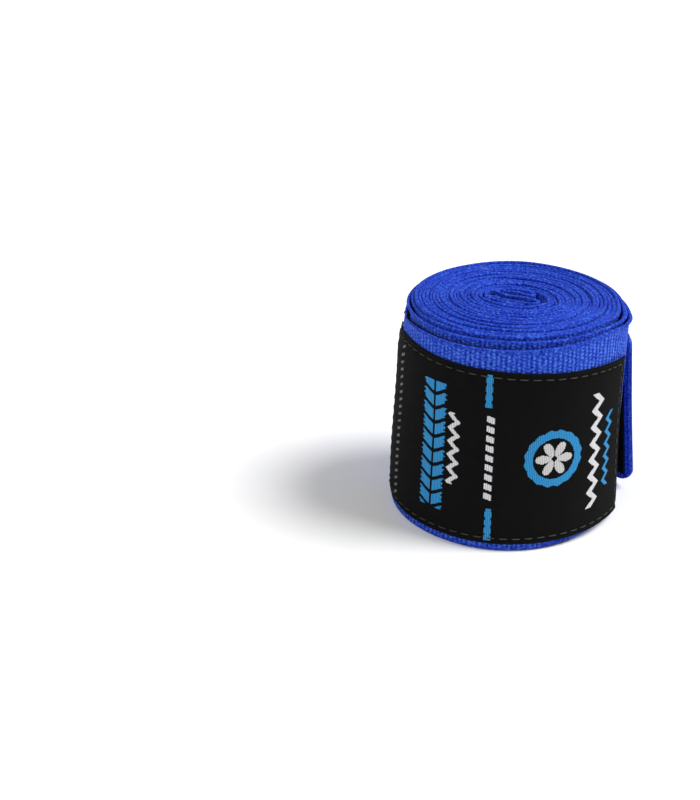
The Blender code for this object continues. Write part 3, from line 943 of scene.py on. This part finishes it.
def build_motifs():
    """Generic ornament: columns of strokes, zigzags and a plait, a line, a ring and a rosette.

    Each row gives a name, a thread, first and last angle, lower and upper edge in millimetres, and a figure.
    """
    for name, thread, first, last, low, high, figure in (
            ("grey_ticks", GREY_THREAD, -166.5, -159.5, 4.0, 44.0, ticks(1.9, 1.0, 0.30, 0.5)),
            ("blue_plait", BLUE_THREAD, -141.5, -125.5, 8.0, 40.0, braid),
            ("white_zigzag", WHITE_THREAD, -126.3, -118.1, 15.5, 33.5, zigzag(3.4, 1.9, 0.95)),
            ("line_top", BLUE_THREAD, -107.5, -104.0, 36.3, 44.3, bar),
            ("line_bottom", BLUE_THREAD, -105.3, -101.8, 2.8, 11.2, bar),
            ("line_ticks", WHITE_THREAD, -106.8, -102.0, 12.8, 34.7, ticks(2.4, 1.0, 0.75, -0.25)),
            ("ring", BLUE_THREAD, -92.0, -55.5, 14.0, 33.0, ring),
            ("rosette", SILVER_THREAD, -92.0, -55.5, 14.0, 33.0, rosette),
            ("white_column", WHITE_THREAD, -55.0, -45.4, 8.0, 37.5, zigzag(4.2, 2.3, 1.2)),
            ("blue_column", BLUE_THREAD, -44.2, -37.3, 12.0, 31.5, zigzag(3.2, 1.6, 0.8))):
        build_motif(f"ornament_{name}", thread, first, last, low * MM, high * MM, figure)


# Sewing thread

def add_stitches(places):
    """Short threads that rise out of the cloth and dip back in.

    places are (start, end, outward) points of the ideal roll. Gives points and faces.
    """
    points, faces = [], []
    sides = 6
    for start, end, outward in places:
        along = (end - start).normalized()
        across = outward.cross(along)
        base = len(points)
        for share, girth, rise in STITCH_PROFILE:
            center = start.lerp(end, share) + outward * (rise * MM)
            for side in range(sides):
                turn = 2.0 * math.pi * side / sides
                spoke = across * math.cos(turn) + outward * math.sin(turn)
                points.append(center + spoke * THREAD_RADIUS * girth)
        for ring in range(len(STITCH_PROFILE) - 1):
            for side in range(sides):
                other = (side + 1) % sides
                here = base + ring * sides
                faces.append([here + side, here + other, here + sides + other, here + sides + side])
        faces.append([base + side for side in range(sides - 1, -1, -1)])
        last = base + (len(STITCH_PROFILE) - 1) * sides
        faces.append([last + side for side in range(sides)])
    return np.array([tuple(point) for point in points]), faces


def thread_piece(name, places, material, slanted=False):
    points, faces = add_stitches(places)
    if slanted:
        points = slant_tip(points)
    uv = np.stack([np.arange(len(points)) * 0.1, points[:, 2] / MM], axis=-1)
    piece = mesh_piece(name, deform(points), faces, material, uv)
    return piece


def on_label(angle, height):
    turn = math.radians(angle)
    outward = Vector((math.cos(turn), math.sin(turn), 0.0))
    return outward * (ROLL_RADIUS + LABEL_THICKNESS) + Vector((0.0, 0.0, height)), outward


def seam(place, first, last, scale=1.0):
    """Evenly spaced stitches between two values of what place takes.

    place gives a point and its outward direction. scale is the value's change in a metre of seam.
    """
    count = max(1, int(abs(last - first) / (STITCH_PITCH * scale)))
    step = (last - first) / count
    half = STITCH_LENGTH / STITCH_PITCH / 2.0
    places = []
    for i in range(count):
        start, outward = place(first + step * (i + 0.5 - half))
        end, _ = place(first + step * (i + 0.5 + half))
        places.append((start, end, outward))
    return places


def build_label_stitches():
    """Seam round the label, parallel to its edges."""
    per_metre = math.degrees(1.0 / (ROLL_RADIUS + LABEL_THICKNESS))
    inset = LABEL_SEAM_INSET * per_metre
    first, last = LABEL_START_ANGLE + 0.5 * inset, LABEL_END_ANGLE - 1.2 * inset

    def seam_point(angle, part):
        top = float(label_top(angle)) - LABEL_SEAM_INSET
        low = LABEL_LOW + LABEL_SEAM_INSET
        slant = LABEL_END_SLANT * part * float(smooth(angle, LABEL_END_ANGLE - 30.0, LABEL_END_ANGLE))
        return on_label(angle - slant, low + (top - low) * part)

    places = []
    for part in (0.0, 1.0):
        places += seam(lambda angle: seam_point(angle, part), first, last, per_metre)
    for angle in (first, last):
        places += seam(lambda part: seam_point(angle, part), 0.0, 1.0, 1.0 / (LABEL_HIGH - LABEL_LOW))
    piece = thread_piece("stitches_label", places, SEAM_THREAD)
    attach(piece, "roll")
    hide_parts("label_stitching")


def on_tail(length, height, lift=0.0):
    s = np.array([length])
    x, y, _ = band_path(s)
    nx, ny = path_normals(s)
    outward = Vector((float(nx[0]), float(ny[0]), 0.0))
    return Vector((float(x[0]), float(y[0]), height)) + outward * lift, outward


def build_tail_stitches():
    """The hook tape's two seams through the tail."""
    for index in range(4):
        first, last = TAIL_CUTS[index], TAIL_CUTS[index + 1]
        if index == 3:
            last = -TAIL_LENGTH
        places = []
        for height in (TAIL_SEAM_INSET, BAND_WIDTH - TAIL_SEAM_INSET):
            places += seam(lambda length: on_tail(length, height), first, last)
        piece = thread_piece(f"stitches_tail_{index + 1}", places, TAIL_THREAD, slanted=True)
        if index < 3:
            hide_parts(f"tail_seam_lower_{index + 1}", f"tail_seam_upper_{index + 1}")
        bend_with_tail(piece, index)


def build_tip_stitches():
    """Seam round the tip, on its proud outer face."""
    lift = TIP_THICKNESS - BAND_THICKNESS
    low, high = TIP_BOTTOM + TIP_SEAM_INSET, TIP_BOTTOM + TIP_WIDTH - TIP_SEAM_INSET
    start = -TAIL_LENGTH - TIP_SHOULDER
    end = -TAIL_LENGTH - TIP_LENGTH + TIP_SEAM_INSET
    places = []
    for height in (low, high):
        places += seam(lambda length: on_tail(length, height, lift), start, end + TIP_CORNER / 2.0)
    places += seam(lambda height: on_tail(end, height, lift), low + TIP_CORNER / 2.0, high - TIP_CORNER / 2.0)
    piece = thread_piece("stitches_tip", places, TAIL_THREAD, slanted=True)
    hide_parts("tip_stitching")
    bend_with_tail(piece, 3)


# Thumb loop

def build_thumb_loop():
    """Narrow tape loop pressed flat inside the core."""
    low, high = (corner.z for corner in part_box("thumb_loop"))
    straight = np.linspace(-LOOP_REACH, LOOP_REACH, 30)
    bend = np.linspace(-90.0, 90.0, 10)[1:-1]
    turn = np.concatenate([np.full(30, -90.0), bend, np.full(30, 90.0), bend + 180.0])
    center = np.concatenate([straight, np.full(8, LOOP_REACH), straight[::-1], np.full(8, -LOOP_REACH)])
    along = center + LOOP_GAP / 2.0 * np.cos(np.radians(turn))
    x, y = oval_plan(along, LOOP_GAP / 2.0 * np.sin(np.radians(turn)))
    outward = np.radians(turn + OVAL_ANGLE)
    heights = np.linspace(low, high, 60)
    offset = np.repeat([LOOP_THICKNESS / 2.0, -LOOP_THICKNESS / 2.0], len(heights))
    z = np.concatenate([heights, heights[::-1]])
    rows, columns = len(x), len(z)
    px = x[:, None] + np.cos(outward)[:, None] * offset
    py = y[:, None] + np.sin(outward)[:, None] * offset
    points = np.stack([px, py, np.broadcast_to(z, px.shape)], axis=-1).reshape(-1, 3)
    steps = np.hypot(np.roll(x, -1) - x, np.roll(y, -1) - y)
    run = np.concatenate([[0.0], np.cumsum(steps)[:-1]])
    uv = np.stack(np.broadcast_arrays(run[:, None], z), axis=-1).reshape(-1, 2) / MM
    i, j = np.meshgrid(np.arange(rows), np.arange(columns), indexing="ij")
    i2, j2 = (i + 1) % rows, (j + 1) % columns
    faces = np.stack([i * columns + j, i2 * columns + j, i2 * columns + j2, i * columns + j2], axis=-1)
    piece = mesh_piece("loop_tape", deform(points), faces.reshape(-1, 4).tolist(), LOOP_TAPE, uv)
    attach(piece, "roll")
    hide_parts("thumb_loop")


def build_loop_stitches():
    """Running stitch down both edges of the flat loop and across its ends."""
    low, high = (corner.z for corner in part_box("thumb_loop_stitching"))
    outward = Vector((*oval_plan(0.0, 1.0), 0.0))
    side = LOOP_REACH - LOOP_SEAM_INSET

    def place(offset, height):
        return Vector((*oval_plan(offset, (LOOP_GAP + LOOP_THICKNESS) / 2.0), height)), outward

    places = []
    for offset in (-side, side):
        places += seam(lambda height: place(offset, height), low, high)
    for height in (low, high):
        places += seam(lambda offset: place(offset, height), -side, side)
    piece = thread_piece("stitches_loop", places, LOOP_THREAD)
    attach(piece, "roll")
    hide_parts("thumb_loop_stitching")


# Studio

def build_studio():
    floor_size = 3.0
    corners = np.array([[-1, -1, 0], [1, -1, 0], [1, 1, 0], [-1, 1, 0]], dtype=float) * floor_size
    floor = mesh_piece("studio_floor", corners, [[0, 1, 2, 3]], floor_material())
    world = bpy.data.worlds.new("studio")
    bpy.context.scene.world = world
    world.use_nodes = True
    tree = world.node_tree
    sky = tree.nodes["Background"]
    sky.inputs["Color"].default_value = (1.0, 1.0, 1.0, 1.0)
    seen = add_node(tree, "ShaderNodeLightPath").outputs["Is Camera Ray"]
    tree.links.new(math_node(tree, "MULTIPLY_ADD", seen, 1.0 - SKY_LIGHT, SKY_LIGHT), sky.inputs["Strength"])
    add_sun("key", (0.62, -0.06, 0.76), 34.0, 3.6)
    add_sun("fill", (-0.60, -0.35, 0.75), 50.0, 1.1)
    bpy.context.scene.view_settings.view_transform = "Standard"


def add_sun(name, place, spread, strength):
    """Very wide soft light from the direction of a place, which falls evenly on the floor."""
    light = bpy.data.lights.new(name, "SUN")
    light.angle = math.radians(spread)
    light.energy = strength
    lamp = bpy.data.objects.new(name, light)
    bpy.context.scene.collection.objects.link(lamp)
    lamp.location = place
    lamp.rotation_euler = (-Vector(place)).to_track_quat("-Z", "Y").to_euler()


def build_camera():
    """Camera in front, to the left and above, with the wrap right of the picture's middle."""
    data = bpy.data.cameras.new("camera")
    data.lens = CAMERA_LENS
    data.sensor_width = 36.0
    data.clip_start = 0.01
    camera = bpy.data.objects.new("camera", data)
    bpy.context.scene.collection.objects.link(camera)
    camera.location = Vector((AXIS.x, AXIS.y, 0.0)) + Vector(CAMERA_OFFSET)
    camera.rotation_euler = (math.radians(90.0 - CAMERA_DOWN), 0.0, 0.0)
    bpy.context.scene.camera = camera


build_camera()
build_studio()
OUTER_END = wind_to_length(OUTER_WIND)
build_wound_band("knit_outer_turns", TAIL_CUTS[0], OUTER_END, 5, FINE, COARSE)
inner_turns = build_wound_band("knit_inner_turns", OUTER_END, BAND_LENGTH, 4, EDGES, EDGES)
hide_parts("rolled_band")
build_closure()
build_root_hooks()
build_label()
build_motifs()
build_label_stitches()
build_tail_stitches()
build_tip_stitches()
build_thumb_loop()
build_loop_stitches()
